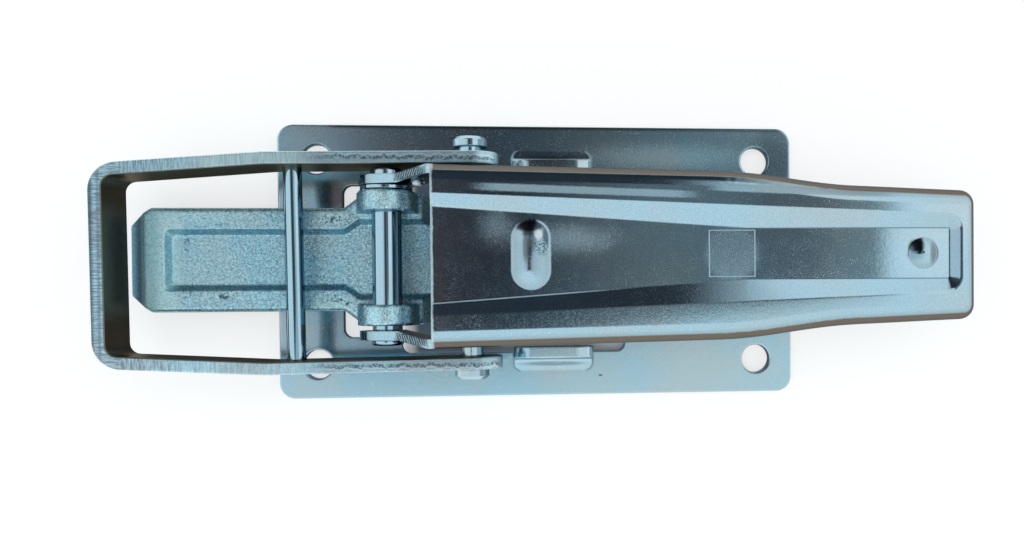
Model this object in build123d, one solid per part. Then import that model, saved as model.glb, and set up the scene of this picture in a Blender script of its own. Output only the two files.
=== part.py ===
from build123d import *
import math
import os

os.makedirs("parts", exist_ok=True)

# An over centre toggle latch, lying on its back.
# Millimetres. The origin is the middle of the four bolt holes, on the back of
# the base plate. +Z is out of the plate, the nose and the bail point to -X and
# the grip of the handle to +X. The handle is closed.

# base plate: one stamping
plate_length = 152.0
plate_width = 80.0
plate_thickness = 3.0
plate_corner_radius = 4.5
bolt_spacing_x = 130.0
bolt_spacing_y = 60.0
bolt_hole_diameter = 8.5
edge_roll = 0.45

# opening in the plate: narrow under the ears, wide under the handle
opening_left = -57.6
opening_step = -41.0
opening_right = 25.0
opening_narrow_half = 22.3
opening_corner_radius = 2.5

# two guide lugs, lanced from the plate and bent up beside the handle
lug_left = -8.0
lug_length = 23.0
lug_height = 17.0
lug_bend_radius = 4.5
lug_kerf = 0.4
lug_gap = 0.8
lug_overhang = 1.0
lug_corner_radius = 5.0
lug_root_radius = 2.2

# handle pivot: a shouldered pin through the two ears of the nose
pivot_x = -41.9
pivot_z = 23.5
pivot_diameter = 8.0
pivot_tenon_diameter = 6.0
pivot_head_diameter = 8.6
pivot_head_height = 1.4
pivot_tail_diameter = 8.4
pivot_tail_height = 2.1
pivot_head_radius = 0.8
pivot_side_play = 0.2

# bail pivot: a rivet through the handle and both arms of the bail
bail_pivot_offset = 22.7
bail_pivot_drop = 1.5
rivet_diameter = 6.1
rivet_head_diameter = 9.4
rivet_head_height = 2.7
rivet_head_chamfer = 0.9
rivet_side_play = 1.1

# nose: one forging with a rimmed recess, two ears and a stop at its tail
nose_tip_x = -113.4
nose_half_width = 14.4
nose_tip_half_width = 9.9
nose_tip_chamfer = 7.2
nose_top_z = 17.5
nose_tip_drop = 5.5
nose_tip_slope = 5.5
nose_recess_left = -101.2
nose_recess_half_width = 7.0
nose_recess_depth = 2.4
nose_recess_wall_run = 1.5
nose_recess_corner = 1.8
nose_recess_wide_half = 9.8
nose_recess_step = -54.5
nose_recess_step_run = 4.0
nose_flare_start = -54.6
nose_flare_end = -49.4
nose_edge_radius = 1.3
nose_corner_radius = 1.4
ear_outer_half = 18.4
ear_thickness = 5.7
ear_radius = 7.6
ear_edge_radius = 0.8
ear_foot_left = -51.0
ear_foot_right = -33.5
tail_taper = 2.0
tail_right = -12.5
tail_stop_left = -26.0
tail_half_width = 10.4
tail_shoulder_z = 8.0
tail_shoulder_run = 4.0
tail_stop_inset = 1.0
tail_stop_radius = 1.5

# countersunk screws that hold the nose, from the back of the plate
screw_x = -66.8
screw_spacing = 15.0
screw_diameter = 8.0
screw_head_diameter = 14.0
screw_head_height = 2.6
screw_length = 11.0
screw_socket_across = 4.0
screw_socket_depth = 1.8
screw_bore_spare = 0.6

# washer between one cheek and its ear
washer_diameter = 14.0
washer_thickness = 0.9

# handle: one pressing with two cheeks, a tapering grip and a sunk panel
handle_sheet = 2.5
handle_front_x = -28.6
handle_end_x = 119.7
handle_front_half = 24.4
handle_neck_x = 48.0
handle_neck_half = 22.9
handle_grip_x = 86.0
handle_grip_half = 19.1
handle_end_half = 17.8
handle_top_z = 39.0
handle_edge_radius = 4.5
handle_corner_radius = 4.0

# panel sunk in the handle: its flat floor, and the wide slopes up to its brim
panel_front_depth = 0.7
panel_end_depth = 1.2
panel_side_shift = 0.35
floor_front_half = 12.9
floor_waist_x = 55.0
floor_waist_half = 7.0
floor_end_half = 6.9
floor_end_x = 111.7
floor_corner_radius = 0.6
brim_front_half = 16.2
brim_end_half = 10.4
brim_end_x = 114.7
brim_corner_radius = 4.6
brim_roll_radius = 2.0
skin_growth = 0.15

# cheeks and flanges of the handle
cheek_end_radius = 7.4
cheek_rise = 0.8
cheek_top_lean = 16.3
cheek_gap = 1.35
cheek_jog_left = -38.0
cheek_jog_right = -30.0
flange_pivot_z = 14.2
flange_bend_offset = 4.0
flange_grip_z = 27.0
stadium_x = -2.6
stadium_length = 18.6
stadium_width = 10.2
stadium_height = 1.5
grip_bump_x = 104.3
grip_bump_diameter = 8.6
grip_bump_height = 1.4

# bail: one flat bar on edge, bent to a long loop
bail_bar_width = 16.4
bail_bar_thickness = 3.4
bail_inner_half = 26.2
bail_end_x = -116.9
bail_end_inner_half = 23.3
bail_crank_x = -73.0
bail_crank_radius = 40.0
bail_outer_corner = 7.5
bail_inner_corner = 3.0
bail_edge_chamfer = 0.3
bail_rest_shift = -0.9
bail_rest_yaw = 0.7
bail_tail = 8.0
bail_tail_radius = 6.5

# rod across the bail
rod_x = -66.9
rod_diameter = 5.0
rod_tenon_diameter = 4.0

# fits
running_clearance = 0.05
rest_gap = 0.3

# room that cutting shapes take past the piece they cut, and how near counts as the same place
cut_margin = 1.0
same_place = 0.1
front_margin = 6.0
skin_low_z = 4.0

# sizes that follow from the ones above
bail_pivot_x = pivot_x + bail_pivot_offset
bail_pivot_z = pivot_z - bail_pivot_drop
cheek_inner = ear_outer_half + cheek_gap
cheek_outer = cheek_inner + handle_sheet
front_flange_inner = handle_front_half - handle_sheet
lug_inner = handle_front_half + lug_gap
lug_outer = lug_inner + plate_thickness
lug_root = lug_outer + lug_bend_radius
opening_wide_half = lug_outer - lug_overhang
bail_outer_half = bail_inner_half + bail_bar_thickness
rod_z = bail_pivot_z
stop_z = bail_pivot_z - rivet_diameter / 2 - rest_gap
recess_z = nose_top_z - nose_recess_depth

# the bail lies to one side of its play, slightly askew on its rivet
bail_swing = Pos(bail_pivot_x, 0, 0) * Rot(0, 0, bail_rest_yaw) * Pos(-bail_pivot_x, 0, 0)
bail_rest = Pos(0, bail_rest_shift, 0) * bail_swing


def cylinder_y(diameter, y_from, y_to, x, z):
    """A round bar along Y between two places."""
    bar = Cylinder(diameter / 2, y_to - y_from, align=(Align.CENTER, Align.CENTER, Align.MIN))
    return Pos(x, y_from, z) * Rot(-90, 0, 0) * bar


def bore_y(shaft_diameter, x, z):
    """A hole along Y right through, in which a shaft of this size turns freely."""
    return cylinder_y(shaft_diameter + 2 * running_clearance, -plate_width, plate_width, x, z)


def block(x_from, x_to, y_from, y_to, z_from, z_to):
    """A plain block between two corners."""
    shape = Box(x_to - x_from, y_to - y_from, z_to - z_from, align=(Align.MIN, Align.MIN, Align.MIN))
    return Pos(x_from, y_from, z_from) * shape


def side_profile(points, half_width):
    """A closed outline in the XZ plane, as thick as the object's width there."""
    outline = make_face(Polyline(points, close=True))
    return extrude(Plane.XZ * outline, half_width, both=True)


def make_base_plate():
    sheet = extrude(RectangleRounded(plate_length, plate_width, plate_corner_radius), plate_thickness)
    top_rim = sheet.edges().group_by(Axis.Z)[-1]
    sheet = fillet(top_rim, edge_roll)

    over = plate_thickness + cut_margin
    lap = opening_step + opening_corner_radius + cut_margin
    narrow = block(opening_left, lap, -opening_narrow_half, opening_narrow_half, -cut_margin, over)
    wide = block(opening_step, opening_right, -opening_wide_half, opening_wide_half, -cut_margin, over)
    narrow = fillet(narrow.edges().filter_by(Axis.Z), opening_corner_radius)
    wide = fillet(wide.edges().filter_by(Axis.Z), opening_corner_radius)
    sheet = sheet - narrow - wide

    for side in (1, -1):
        slit = extrude(lug_plan(side, lug_kerf), over + cut_margin)
        sheet = sheet - Pos(0, 0, -cut_margin) * slit

    hole = Cylinder(bolt_hole_diameter / 2, 3 * plate_thickness)
    for spot in GridLocations(bolt_spacing_x, bolt_spacing_y, 2, 2):
        sheet = sheet - spot * hole
    for spot in GridLocations(0, screw_spacing, 1, 2):
        sheet = sheet - Pos(screw_x, 0, 0) * spot * screw_clearance()
    bore_rims = sheet.edges().filter_by(GeomType.CIRCLE).group_by(Axis.Z)[-1]
    bore_rims = bore_rims.filter_by(lambda edge: abs(edge.radius - bolt_hole_diameter / 2) < same_place)
    sheet = fillet(bore_rims, edge_roll)

    for side in (1, -1):
        sheet = sheet + guide_lug(side)
    return sheet


def lug_plan(side, grow):
    """The patch of sheet that one lug covers, with rounded corners at its root."""
    reach = 2 * (lug_root - opening_wide_half) + 2 * lug_root_radius
    patch = RectangleRounded(lug_length + 2 * grow, reach, lug_root_radius + grow)
    return Pos(lug_left + lug_length / 2, side * (lug_root - reach / 2)) * patch


def guide_lug(side):
    """One lug: out of the plate on a bend, then straight up beside the handle."""
    bend = lug_bend_radius
    outer_bend = bend + plate_thickness
    straight_z = plate_thickness + bend
    with BuildPart() as lug:
        with BuildSketch(Plane.YZ) as section:
            with BuildLine():
                Line((lug_root, 0), (lug_root, plate_thickness))
                RadiusArc((lug_root, plate_thickness), (lug_outer, straight_z), bend)
                Line((lug_outer, straight_z), (lug_outer, lug_height))
                Line((lug_outer, lug_height), (lug_inner, lug_height))
                Line((lug_inner, lug_height), (lug_inner, straight_z))
                RadiusArc((lug_inner, straight_z), (lug_root, 0), -outer_bend)
            make_face()
        extrude(amount=lug_length)
    shape = Pos(lug_left, 0, 0) * lug.part
    upper = shape.edges().filter_by(Axis.Y).group_by(Axis.Z)[-1]
    shape = fillet(upper, lug_corner_radius)
    shape = shape & extrude(lug_plan(1, 0), lug_height + cut_margin)
    if side < 0:
        shape = mirror(shape, Plane.XZ)
    return shape


def screw_clearance():
    """The hole that a countersunk screw leaves in the plate."""
    shank = Cylinder(screw_diameter / 2 + running_clearance, 3 * plate_thickness)
    cone = Cone(
        screw_head_diameter / 2 + running_clearance,
        screw_diameter / 2 + running_clearance,
        screw_head_height,
        align=(Align.CENTER, Align.CENTER, Align.MIN),
    )
    return shank + cone


def make_nose_screws():
    head = Cone(
        screw_head_diameter / 2,
        screw_diameter / 2,
        screw_head_height,
        align=(Align.CENTER, Align.CENTER, Align.MIN),
    )
    shank = Cylinder(screw_diameter / 2, screw_length, align=(Align.CENTER, Align.CENTER, Align.MIN))
    socket = extrude(RegularPolygon(screw_socket_across / 2, 6, major_radius=False), screw_socket_depth)
    screw = head + shank - socket
    spots = [Pos(screw_x, 0, 0) * spot for spot in GridLocations(0, screw_spacing, 1, 2)]
    return Compound(children=[spot * screw for spot in spots])


def nose_plan():
    """The forging seen from above: a chamfered tip, straight flanks and the flare to the ears."""
    tip_shoulder = nose_tip_x + nose_tip_chamfer
    half = [
        (nose_tip_x, nose_tip_half_width),
        (tip_shoulder, nose_half_width),
        (nose_flare_start, nose_half_width),
        (nose_flare_end, ear_outer_half),
        (ear_foot_right, ear_outer_half),
        (tail_stop_left, ear_outer_half - tail_taper),
    ]
    other_half = [(x, -y) for x, y in reversed(half)]
    return make_face(Polyline(half + other_half, close=True))


def recess_tool():
    """The die that forms the sloping recess: narrow in the nose, wide under the handle."""
    depth = nose_recess_depth + cut_margin
    spread = nose_recess_wall_run / nose_recess_depth * depth
    steps = [
        (nose_recess_left, nose_recess_half_width),
        (nose_recess_step, nose_recess_half_width),
        (nose_recess_step + nose_recess_step_run, nose_recess_wide_half),
        (tail_right + cut_margin, nose_recess_wide_half),
    ]
    low = steps + [(x, -y) for x, y in reversed(steps)]
    wide_steps = [(steps[0][0] - spread, steps[0][1] + spread)] + [(x, y + spread) for x, y in steps[1:]]
    high = wide_steps + [(x, -y) for x, y in reversed(wide_steps)]
    floor = Pos(0, 0, recess_z) * make_face(Polyline(low, close=True))
    mouth = Pos(0, 0, recess_z + depth) * make_face(Polyline(high, close=True))
    tool = loft([floor, mouth], ruled=True)
    sloping = tool.edges().filter_by(lambda edge: abs(edge.center().Z - recess_z - depth / 2) < same_place)
    corners = sloping.sort_by(Axis.X)[:2]
    return fillet(corners, nose_recess_corner)


def make_nose():
    body = extrude(Pos(0, 0, plate_thickness) * nose_plan(), nose_top_z - plate_thickness)
    body = fillet(body.edges().filter_by(Axis.Z), nose_corner_radius)
    slope_top_x = nose_tip_x + nose_tip_slope
    tip_low_z = nose_top_z - nose_tip_drop
    rise = nose_tip_drop / nose_tip_slope
    tip_cut = [
        (nose_tip_x - cut_margin, tip_low_z - rise * cut_margin),
        (nose_tip_x - cut_margin, nose_top_z + rise * cut_margin),
        (slope_top_x + cut_margin, nose_top_z + rise * cut_margin),
    ]
    body = body - side_profile(tip_cut, plate_width)
    rim = [edge for edge in body.edges() if edge.center().Z > tip_low_z - same_place]
    rim = [edge for edge in rim if edge.center().X < tail_stop_left - cut_margin]
    body = fillet(rim, nose_edge_radius)
    body = body - recess_tool()

    past_tail = tail_right + cut_margin
    shoulder_cut = [
        (ear_foot_right, nose_top_z + cut_margin),
        (ear_foot_right + tail_shoulder_run, tail_shoulder_z),
        (past_tail, tail_shoulder_z),
        (past_tail, nose_top_z + cut_margin),
    ]
    middle = block(nose_tip_x, past_tail, -nose_recess_wide_half, nose_recess_wide_half, 0, 2 * nose_top_z)
    body = body - (side_profile(shoulder_cut, plate_width) - middle)

    tail_root = tail_stop_left - tail_shoulder_run
    stop_half = tail_half_width - tail_stop_inset
    tail = block(tail_root, tail_right, -tail_half_width, tail_half_width, plate_thickness, recess_z)
    stop = block(tail_stop_left, tail_right, -stop_half, stop_half, recess_z - cut_margin, stop_z)
    stop = fillet(stop.edges().filter_by(Axis.Y).group_by(Axis.Z)[-1], tail_stop_radius)
    body = body + tail + stop

    for side in (1, -1):
        body = body + nose_ear(side)
    body = body - bore_y(pivot_diameter, pivot_x, pivot_z)
    bore = Cylinder(
        screw_diameter / 2 + running_clearance,
        screw_length + screw_bore_spare,
        align=(Align.CENTER, Align.CENTER, Align.MIN),
    )
    for spot in GridLocations(0, screw_spacing, 1, 2):
        body = body - Pos(screw_x, 0, 0) * spot * bore
    return body


def nose_ear(side):
    """One ear: a web that rises from the forging to a boss round the pivot."""
    inner = ear_outer_half - ear_thickness
    foot_z = recess_z - cut_margin
    shoulder = ear_radius * math.sqrt(0.5)
    web = [
        (ear_foot_left, foot_z),
        (ear_foot_left, nose_top_z),
        (pivot_x - shoulder, pivot_z + shoulder),
        (pivot_x + shoulder, pivot_z + shoulder),
        (ear_foot_right, recess_z),
        (ear_foot_right, foot_z),
    ]
    low = min(side * inner, side * ear_outer_half)
    slab = block(nose_tip_x, 0, low, low + ear_thickness, 0, handle_top_z)
    ear = side_profile(web, plate_width) & slab
    boss = cylinder_y(2 * ear_radius, low, low + ear_thickness, pivot_x, pivot_z)
    boss = fillet(boss.edges().filter_by(GeomType.CIRCLE), ear_edge_radius)
    return ear + boss


def make_pivot_pin():
    shoulder = cheek_inner - pivot_side_play
    seat = cheek_outer + pivot_side_play
    pin = cylinder_y(pivot_diameter, -shoulder, shoulder, pivot_x, pivot_z)
    pin = pin + cylinder_y(pivot_tenon_diameter, -seat - cut_margin, seat + cut_margin, pivot_x, pivot_z)
    head = cylinder_y(pivot_head_diameter, -seat - pivot_head_height, -seat, pivot_x, pivot_z)
    head = fillet(head.edges().group_by(Axis.Y)[0], pivot_head_radius)
    tail = cylinder_y(pivot_tail_diameter, seat, seat + pivot_tail_height, pivot_x, pivot_z)
    tail = fillet(tail.edges().group_by(Axis.Y)[-1], pivot_head_radius)
    return pin + head + tail


def make_pivot_washer():
    start = ear_outer_half + (cheek_gap - washer_thickness) / 2
    ring = cylinder_y(washer_diameter, start, start + washer_thickness, pivot_x, pivot_z)
    return ring - bore_y(pivot_diameter, pivot_x, pivot_z)


def handle_plan(inset):
    """The handle seen from above: straight front half, S shaped waist, tapering grip."""
    front_slope = (handle_neck_half - handle_front_half) / (handle_neck_x - handle_front_x)
    grip_slope = (handle_end_half - handle_grip_half) / (handle_end_x - handle_grip_x)
    end_x = handle_end_x - inset
    front_half = handle_front_half - inset
    neck = (handle_neck_x, handle_neck_half - inset)
    grip = (handle_grip_x, handle_grip_half - inset)
    end = (end_x, handle_end_half - inset - grip_slope * inset)
    with BuildSketch() as plan:
        with BuildLine():
            Line((handle_front_x, 0), (handle_front_x, front_half))
            Line((handle_front_x, front_half), neck)
            Spline(neck, grip, tangents=[(1, front_slope), (1, grip_slope)])
            Line(grip, end)
            Line(end, (end_x, 0))
            mirror(about=Plane.XZ)
        make_face()
    return plan.sketch


def handle_body(inset, floor_z):
    """The solid that the handle's outer or inner skin encloses, behind the front edge."""
    top_z = handle_top_z - inset
    skin = extrude(Pos(0, 0, floor_z) * handle_plan(inset), top_z - floor_z)
    corners = skin.edges().filter_by(Axis.Z).group_by(Axis.X)[-1]
    skin = fillet(corners, handle_corner_radius - inset)
    rim = skin.edges().group_by(Axis.Z)[-1]
    rim = rim.sort_by(Axis.X)[1:]
    return fillet(rim, handle_edge_radius - inset)


def panel_outline(front_half, waist_half, end_half, end_x, corner_radius):
    """The panel seen from above: two straight tapers on each side and a rounded end."""
    start = handle_front_x - front_margin
    with BuildSketch() as plan:
        with BuildLine():
            Polyline(
                (start, front_half),
                (floor_waist_x, waist_half),
                (end_x, end_half),
                (end_x, -end_half),
                (floor_waist_x, -waist_half),
                (start, -front_half),
                close=True,
            )
        make_face()
        fillet(plan.vertices().group_by(Axis.X)[-1], corner_radius)
    return plan.sketch


def brim_half(x):
    """Half the width of the panel at its brim, at one place along the handle."""
    share = (x - handle_front_x) / (brim_end_x - handle_front_x)
    return brim_front_half + share * (brim_end_half - brim_front_half)


def panel_tool(inset):
    """The punch that sinks the panel into the top of the handle, a little deeper towards the grip."""
    grow = inset * skin_growth
    fall = math.atan2(panel_end_depth - panel_front_depth, floor_end_x - handle_front_x)
    floor = panel_outline(
        floor_front_half + grow,
        floor_waist_half + grow,
        floor_end_half + grow,
        floor_end_x + grow,
        floor_corner_radius + grow,
    )
    brim = panel_outline(
        brim_front_half + grow,
        brim_half(floor_waist_x) + grow,
        brim_end_half + grow,
        brim_end_x + grow,
        brim_corner_radius + grow,
    )
    hinge = Pos(handle_front_x, 0, -panel_front_depth) * Rot(0, math.degrees(fall), 0)
    floor = hinge * Pos(-handle_front_x, 0, 0) * floor
    punch = loft([floor, brim], ruled=True) + extrude(brim, panel_end_depth)
    return Pos(0, panel_side_shift, handle_top_z - inset) * punch


def panel_floor_z(x):
    """The height of the sunk panel at one place along the handle."""
    share = (x - handle_front_x) / (floor_end_x - handle_front_x)
    return handle_top_z - panel_front_depth - share * (panel_end_depth - panel_front_depth)


def raised_bump(x, length, width, height, inset):
    """A smooth bump pressed up from the panel: a ball end on each side of a round back."""
    radius = ((width / 2) ** 2 + height ** 2) / (2 * height)
    centre_z = panel_floor_z(x) + height - radius
    reach = (length - width) / 2
    skin = radius - inset
    shape = Sphere(skin)
    if reach > 0:
        back = cylinder_y(2 * skin, -reach, reach, 0, 0)
        shape = back + Pos(0, reach, 0) * shape + Pos(0, -reach, 0) * shape
    return Pos(x, panel_side_shift, centre_z) * shape


def on_brim(edge):
    """Whether an edge runs along the brim of the panel, on the top of the handle."""
    middle = edge.center()
    on_top = abs(middle.Z - handle_top_z) < same_place
    beside_panel = abs(middle.Y) < brim_half(middle.X) + panel_side_shift + same_place
    return on_top and beside_panel and handle_front_x + cut_margin < middle.X < brim_end_x + same_place


def handle_skin(inset):
    """The solid inside the outer face of the handle, or inside its inner face."""
    skin = handle_body(inset, skin_low_z - inset)
    skin = skin - panel_tool(inset)
    if inset == 0:
        skin = fillet(skin.edges().filter_by(on_brim), brim_roll_radius)
    skin = skin + raised_bump(stadium_x, stadium_length, stadium_width, stadium_height, inset)
    return skin + raised_bump(grip_bump_x, grip_bump_diameter, grip_bump_diameter, grip_bump_height, inset)


def make_handle():
    shell = handle_skin(0) - handle_skin(handle_sheet)
    shell = shell + cheek(1) + cheek(-1)
    shell = shell & flange_outline()
    pivot_hole = bore_y(pivot_tenon_diameter, pivot_x, pivot_z)
    rivet_hole = bore_y(rivet_diameter, bail_pivot_x, bail_pivot_z)
    return shell - pivot_hole - rivet_hole


def cheek(side):
    """One cheek: straight at the pivot, then joggled out to meet the flange."""
    cheek_left = pivot_x - 2 * cheek_end_radius
    points = [
        (cheek_left, cheek_inner),
        (cheek_jog_left, cheek_inner),
        (cheek_jog_right, front_flange_inner),
        (handle_front_x, front_flange_inner),
        (handle_front_x, handle_front_half),
        (cheek_jog_right, handle_front_half),
        (cheek_jog_left, cheek_outer),
        (cheek_left, cheek_outer),
    ]
    plate = extrude(make_face(Polyline(points, close=True)), handle_top_z)
    if side < 0:
        plate = mirror(plate, Plane.XZ)
    return plate


def flange_outline():
    """The side view of the handle, which trims cheeks and flanges."""
    r = cheek_end_radius
    edge_z = handle_top_z - handle_edge_radius
    lean = math.radians(cheek_top_lean)
    far_x = handle_end_x + cut_margin
    far_z = handle_top_z + cut_margin
    flange_bend_x = bail_pivot_x + flange_bend_offset
    with BuildPart() as trim:
        with BuildSketch(Plane.XZ) as view:
            with BuildLine():
                top_tangent = (pivot_x - r * math.sin(lean), pivot_z + r * math.cos(lean))
                bottom_tangent = (pivot_x, pivot_z - r)
                Line((handle_front_x, edge_z + cheek_rise), top_tangent)
                ThreePointArc(top_tangent, (pivot_x - r, pivot_z), bottom_tangent)
                Line(bottom_tangent, (flange_bend_x, flange_pivot_z))
                Spline(
                    (flange_bend_x, flange_pivot_z),
                    (handle_grip_x, flange_grip_z),
                    tangents=[(1, 0), (1, 0)],
                )
                Line((handle_grip_x, flange_grip_z), (far_x, flange_grip_z))
                Line((far_x, flange_grip_z), (far_x, far_z))
                Line((far_x, far_z), (handle_front_x, far_z))
                Line((handle_front_x, far_z), (handle_front_x, edge_z + cheek_rise))
            make_face()
        extrude(amount=plate_width, both=True)
    return trim.part


def make_bail_rivet():
    shoulder = bail_outer_half + rivet_side_play
    tip = shoulder + rivet_head_height
    pin = cylinder_y(rivet_diameter, -tip + cut_margin, tip - cut_margin, bail_pivot_x, bail_pivot_z)
    upper = cylinder_y(rivet_head_diameter, shoulder, tip, bail_pivot_x, bail_pivot_z)
    upper = chamfer(upper.edges().group_by(Axis.Y)[-1], rivet_head_chamfer)
    lower = cylinder_y(rivet_head_diameter, -tip, -shoulder, bail_pivot_x, bail_pivot_z)
    lower = chamfer(lower.edges().group_by(Axis.Y)[0], rivet_head_chamfer)
    return pin + upper + lower


def bail_outline(half_arm, half_end, end_x, corner, right_x):
    """The loop seen from above, open at the rivet end."""
    with BuildSketch() as plan:
        with BuildLine():
            Polyline(
                (right_x, half_arm),
                (bail_crank_x, half_arm),
                (end_x, half_end),
                (end_x, -half_end),
                (bail_crank_x, -half_arm),
                (right_x, -half_arm),
                close=True,
            )
        make_face()
        corners = plan.vertices().group_by(Axis.X)[0]
        fillet(corners, corner)
        bends = plan.vertices().filter_by(lambda v: abs(v.X - bail_crank_x) < same_place)
        fillet(bends, bail_crank_radius)
    return plan.sketch


def follows_bar(edge):
    """Whether an edge of the bail runs along the bar, and not across its width or thickness."""
    level = edge.bounding_box().size.Z < same_place
    return level and edge.length > 1.2 * bail_bar_thickness


def make_bail():
    right_x = bail_pivot_x + bail_tail
    taper = (bail_inner_half - bail_end_inner_half) / (bail_crank_x - bail_end_x)
    outer_end_half = bail_end_inner_half + bail_bar_thickness
    inner_end_half = bail_end_inner_half + taper * bail_bar_thickness
    outer = bail_outline(bail_outer_half, outer_end_half, bail_end_x, bail_outer_corner, right_x)
    inner_end_x = bail_end_x + bail_bar_thickness
    past_tails = right_x + cut_margin
    inner = bail_outline(bail_inner_half, inner_end_half, inner_end_x, bail_inner_corner, past_tails)
    low_z = bail_pivot_z - bail_bar_width / 2
    loop = extrude(Pos(0, 0, low_z) * (outer - inner), bail_bar_width)
    tails = loop.edges().filter_by(Axis.Y).group_by(Axis.X)[-1]
    loop = fillet(tails, bail_tail_radius)
    loop = chamfer(loop.edges().filter_by(follows_bar), bail_edge_chamfer)
    loop = loop - cylinder_y(rod_tenon_diameter, -plate_width, plate_width, rod_x, rod_z)
    return bail_rest * loop - bore_y(rivet_diameter, bail_pivot_x, bail_pivot_z)


def make_cross_rod():
    rod = cylinder_y(rod_diameter, -bail_inner_half, bail_inner_half, rod_x, rod_z)
    tenon = cylinder_y(rod_tenon_diameter, -bail_outer_half, bail_outer_half, rod_x, rod_z)
    return bail_rest * (rod + tenon)


pieces = {
    "base_plate": make_base_plate(),
    "nose_forging": make_nose(),
    "nose_screws": make_nose_screws(),
    "handle_pivot_pin": make_pivot_pin(),
    "pivot_washer": make_pivot_washer(),
    "handle": make_handle(),
    "bail_rivet": make_bail_rivet(),
    "bail": make_bail(),
    "cross_rod": make_cross_rod(),
}

for name, shape in pieces.items():
    export_step(shape, f"parts/{name}.step")
    print(name, round(shape.volume / 1000, 2), "cm3")
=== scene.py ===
# %% [markdown]
# # An over centre toggle latch in bright zinc
#
# This lesson dresses a finished CAD model. The latch is steel, and every piece of it is zinc
# plated: a pressed handle, a forged nose, a bail of flat bar, turned pins and a stamped plate.
# One metal with five histories, so the work lies in how each piece was made: drawn sheet shines,
# forgings stay grainy, sheared edges show streaks, and bent sheet keeps the marks of its tool.
#
# The nine CAD pieces keep their shapes. Only three small things are modelled here: a stamped
# frame on the handle, the teeth that a bending tool left, and a few drops of zinc.

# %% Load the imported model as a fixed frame
import math

import bmesh
import bpy
from mathutils import Matrix, Vector


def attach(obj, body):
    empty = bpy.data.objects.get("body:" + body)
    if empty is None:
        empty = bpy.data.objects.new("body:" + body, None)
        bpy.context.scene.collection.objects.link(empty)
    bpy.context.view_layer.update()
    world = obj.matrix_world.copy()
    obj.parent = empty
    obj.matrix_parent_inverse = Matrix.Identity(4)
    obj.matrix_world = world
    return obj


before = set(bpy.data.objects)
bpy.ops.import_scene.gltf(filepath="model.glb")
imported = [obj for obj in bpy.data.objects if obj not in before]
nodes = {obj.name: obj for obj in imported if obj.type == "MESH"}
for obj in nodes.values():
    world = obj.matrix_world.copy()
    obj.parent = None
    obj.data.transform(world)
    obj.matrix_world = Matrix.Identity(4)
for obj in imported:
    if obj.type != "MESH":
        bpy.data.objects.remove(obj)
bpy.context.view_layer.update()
print("nodes:", ", ".join(sorted(nodes)))

# %% [markdown]
# ## Camera
#
# The latch lies on its back and is seen straight from above. A lens of about 35 mm from 0.3 m
# away gives the strong perspective of a close view: the handle, which stands nearest, grows
# over the plate behind it. A longer lens from further off would be easier to place, but it would
# flatten that. The lens is written as a focal length in pixels, the way a camera is measured,
# and the shift moves the middle of the view without turning the camera.

# %% Scene settings
scene = bpy.context.scene
scene.view_settings.view_transform = "Standard"
collection = scene.collection


def link(name, data):
    """A new object in the scene."""
    obj = bpy.data.objects.new(name, data)
    collection.objects.link(obj)
    return obj


# %% The camera
IMAGE_WIDTH = 1024
IMAGE_HEIGHT = 536
FOCAL_PIXELS = 990.0
CENTRE_PIXEL = (637.0, 314.5)
CAMERA_PLACE = (-0.00046, -0.01222, 0.30019)
CAMERA_TURN = (-0.735, -5.622, -0.435)

camera_data = bpy.data.cameras.new("view_camera")
camera_data.sensor_width = 36.0
camera_data.lens = FOCAL_PIXELS / IMAGE_WIDTH * camera_data.sensor_width
camera_data.shift_x = (IMAGE_WIDTH / 2 - CENTRE_PIXEL[0]) / IMAGE_WIDTH
camera_data.shift_y = (CENTRE_PIXEL[1] - IMAGE_HEIGHT / 2) / IMAGE_WIDTH
camera_data.clip_start = 0.01
camera = link("view_camera", camera_data)
camera.location = CAMERA_PLACE
camera.rotation_euler = [math.radians(angle) for angle in CAMERA_TURN]
scene.camera = camera
print("lens", round(camera_data.lens, 2), "mm, from", CAMERA_PLACE[2], "m")

# %% [markdown]
# ## Small tools for wiring nodes
#
# A material or a sky is a net of nodes. A few helpers keep the wiring short. One adds a node and
# fills its sockets. The others wrap the nodes that come back most: arithmetic, a product of
# masks, a soft step between two values, and a mix of two colours. Each takes either a number or
# another node's output, and gives back an output, so they read like plain sums.

# %% One node and its sockets


def feed(tree, socket, value):
    """A socket takes another node's output, a number, a vector or a colour."""
    if isinstance(value, bpy.types.NodeSocket):
        tree.links.new(value, socket)
    elif hasattr(value, "__len__") and socket.type == "RGBA":
        socket.default_value = (*value[:3], 1.0)
    else:
        socket.default_value = value


def add(tree, kind, sockets=None, **settings):
    """One node of a kind, with its settings and its sockets filled."""
    node = tree.nodes.new(kind)
    for name, value in settings.items():
        setattr(node, name, value)
    for key, value in (sockets or {}).items():
        feed(tree, node.inputs[key], value)
    return node


# %% Sums, masks and mixes


def sums(tree, operation, first, second=0.0, third=0.0):
    """One arithmetic step. A few operations use a third number."""
    sockets = {0: first, 1: second, 2: third}
    return add(tree, "ShaderNodeMath", sockets, operation=operation).outputs[0]


def product(tree, first, *others):
    """Masks multiplied: what is left lies inside all of them."""
    for other in others:
        first = sums(tree, "MULTIPLY", first, other)
    return first


def strongest_of(tree, first, *others):
    """Masks joined: at each point, the strongest counts."""
    for other in others:
        first = sums(tree, "MAXIMUM", first, other)
    return first


def gap_to(tree, value, place):
    """How far a value is from a place, on either side."""
    return sums(tree, "ABSOLUTE", sums(tree, "SUBTRACT", value, place))


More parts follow.
